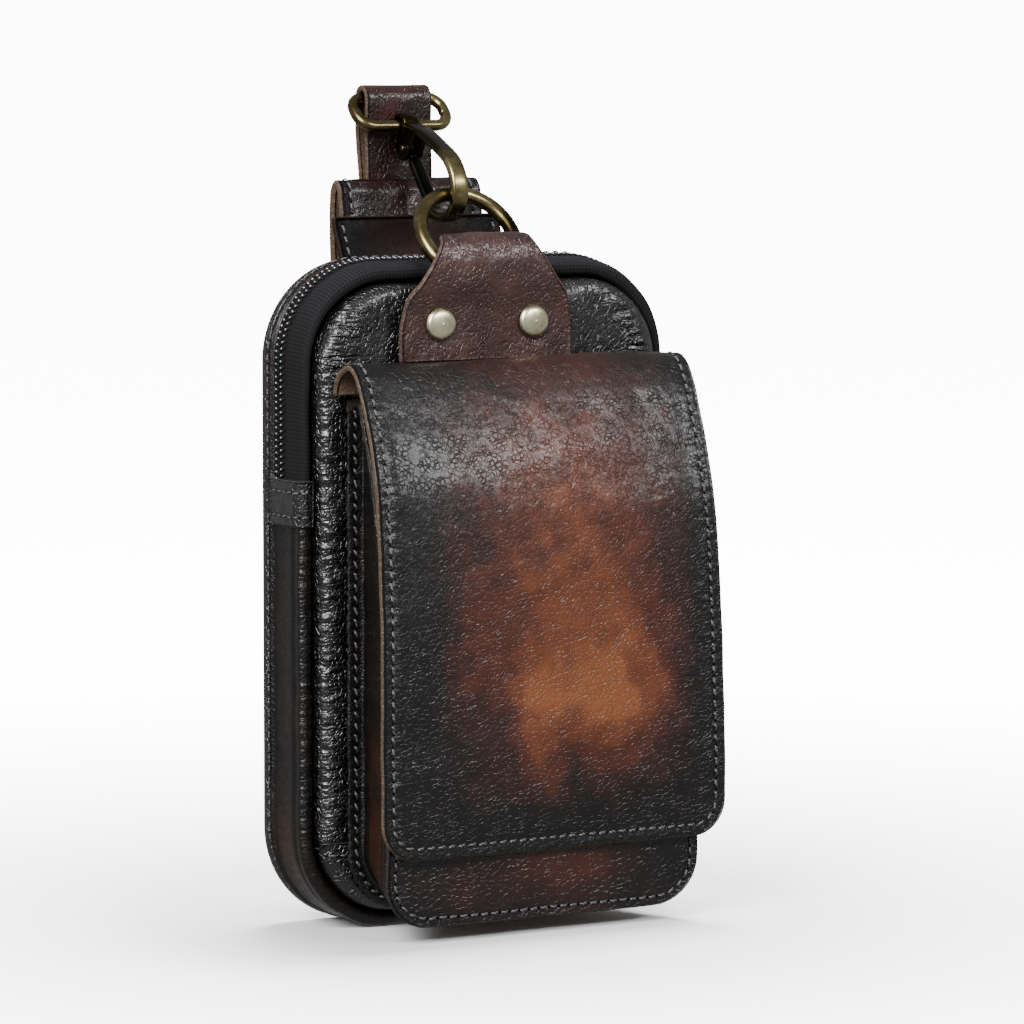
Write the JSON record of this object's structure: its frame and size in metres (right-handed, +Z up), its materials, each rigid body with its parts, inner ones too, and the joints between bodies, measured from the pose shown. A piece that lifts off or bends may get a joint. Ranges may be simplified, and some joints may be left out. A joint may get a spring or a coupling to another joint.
{
  "type": "leather belt bag",
  "caption": "Upright leather belt bag with a zipped main compartment, a front pouch under a long flap, a riveted ring tab, a snap hook on an oblong ring, and a belt loop behind.",
  "frame": {"origin": "middle of the base of the bounding box, on the surface the bag stands on", "axes": "+Z up, +Y from the flap towards the belt loop, +X to the right as seen from the flap side"},
  "size_m": [0.1196, 0.0848, 0.2259],
  "materials": {
    "black_leather": "grained, glossy",
    "brown_leather": "burnished, grained, glossy",
    "tab_leather": "fine grained, satin",
    "strap_leather": "burnished, glossy",
    "zip_cloth": "woven, matte",
    "zip_coil": "moulded nylon coil",
    "antique_brass": "antique, satin",
    "pale_brass": "brushed",
    "gunmetal": "dark plated"
  },
  "bodies": {
    "bag": {"back_panel": "black_leather", "gusset_lower": "black_leather", "gusset_upper": "brown_leather", "zip_tape": "zip_cloth", "zip_chain": "zip_coil", "zip_end_left": "black_leather", "zip_end_right": "black_leather", "zip_slider": "antique_brass", "front_panel": "black_leather", "front_base": "black_leather", "pouch_gusset": "black_leather", "pouch_front": "black_leather", "flap": "brown_leather", "flap_snap": "antique_brass", "ring_tab": "tab_leather", "rivet_left": "pale_brass", "rivet_right": "pale_brass", "round_ring": "antique_brass", "hook_body": "antique_brass", "hook_pin": "antique_brass", "oblong_ring": "antique_brass", "hanger_strap": "strap_leather", "belt_loop": "strap_leather", "loop_patch": "black_leather"},
    "gate": {"hook_gate": "gunmetal"}
  },
  "joints": [
    {"name": "gate_hinge", "type": "hinge", "parent": "bag", "child": "gate", "pos_m": [-0.0052, 0.02931, 0.2087], "axis": [-1, 0, 0], "range_deg": [0, 30], "stiffness_Nm_per_rad": 0.02, "springref_deg": -17.19}
  ]
}
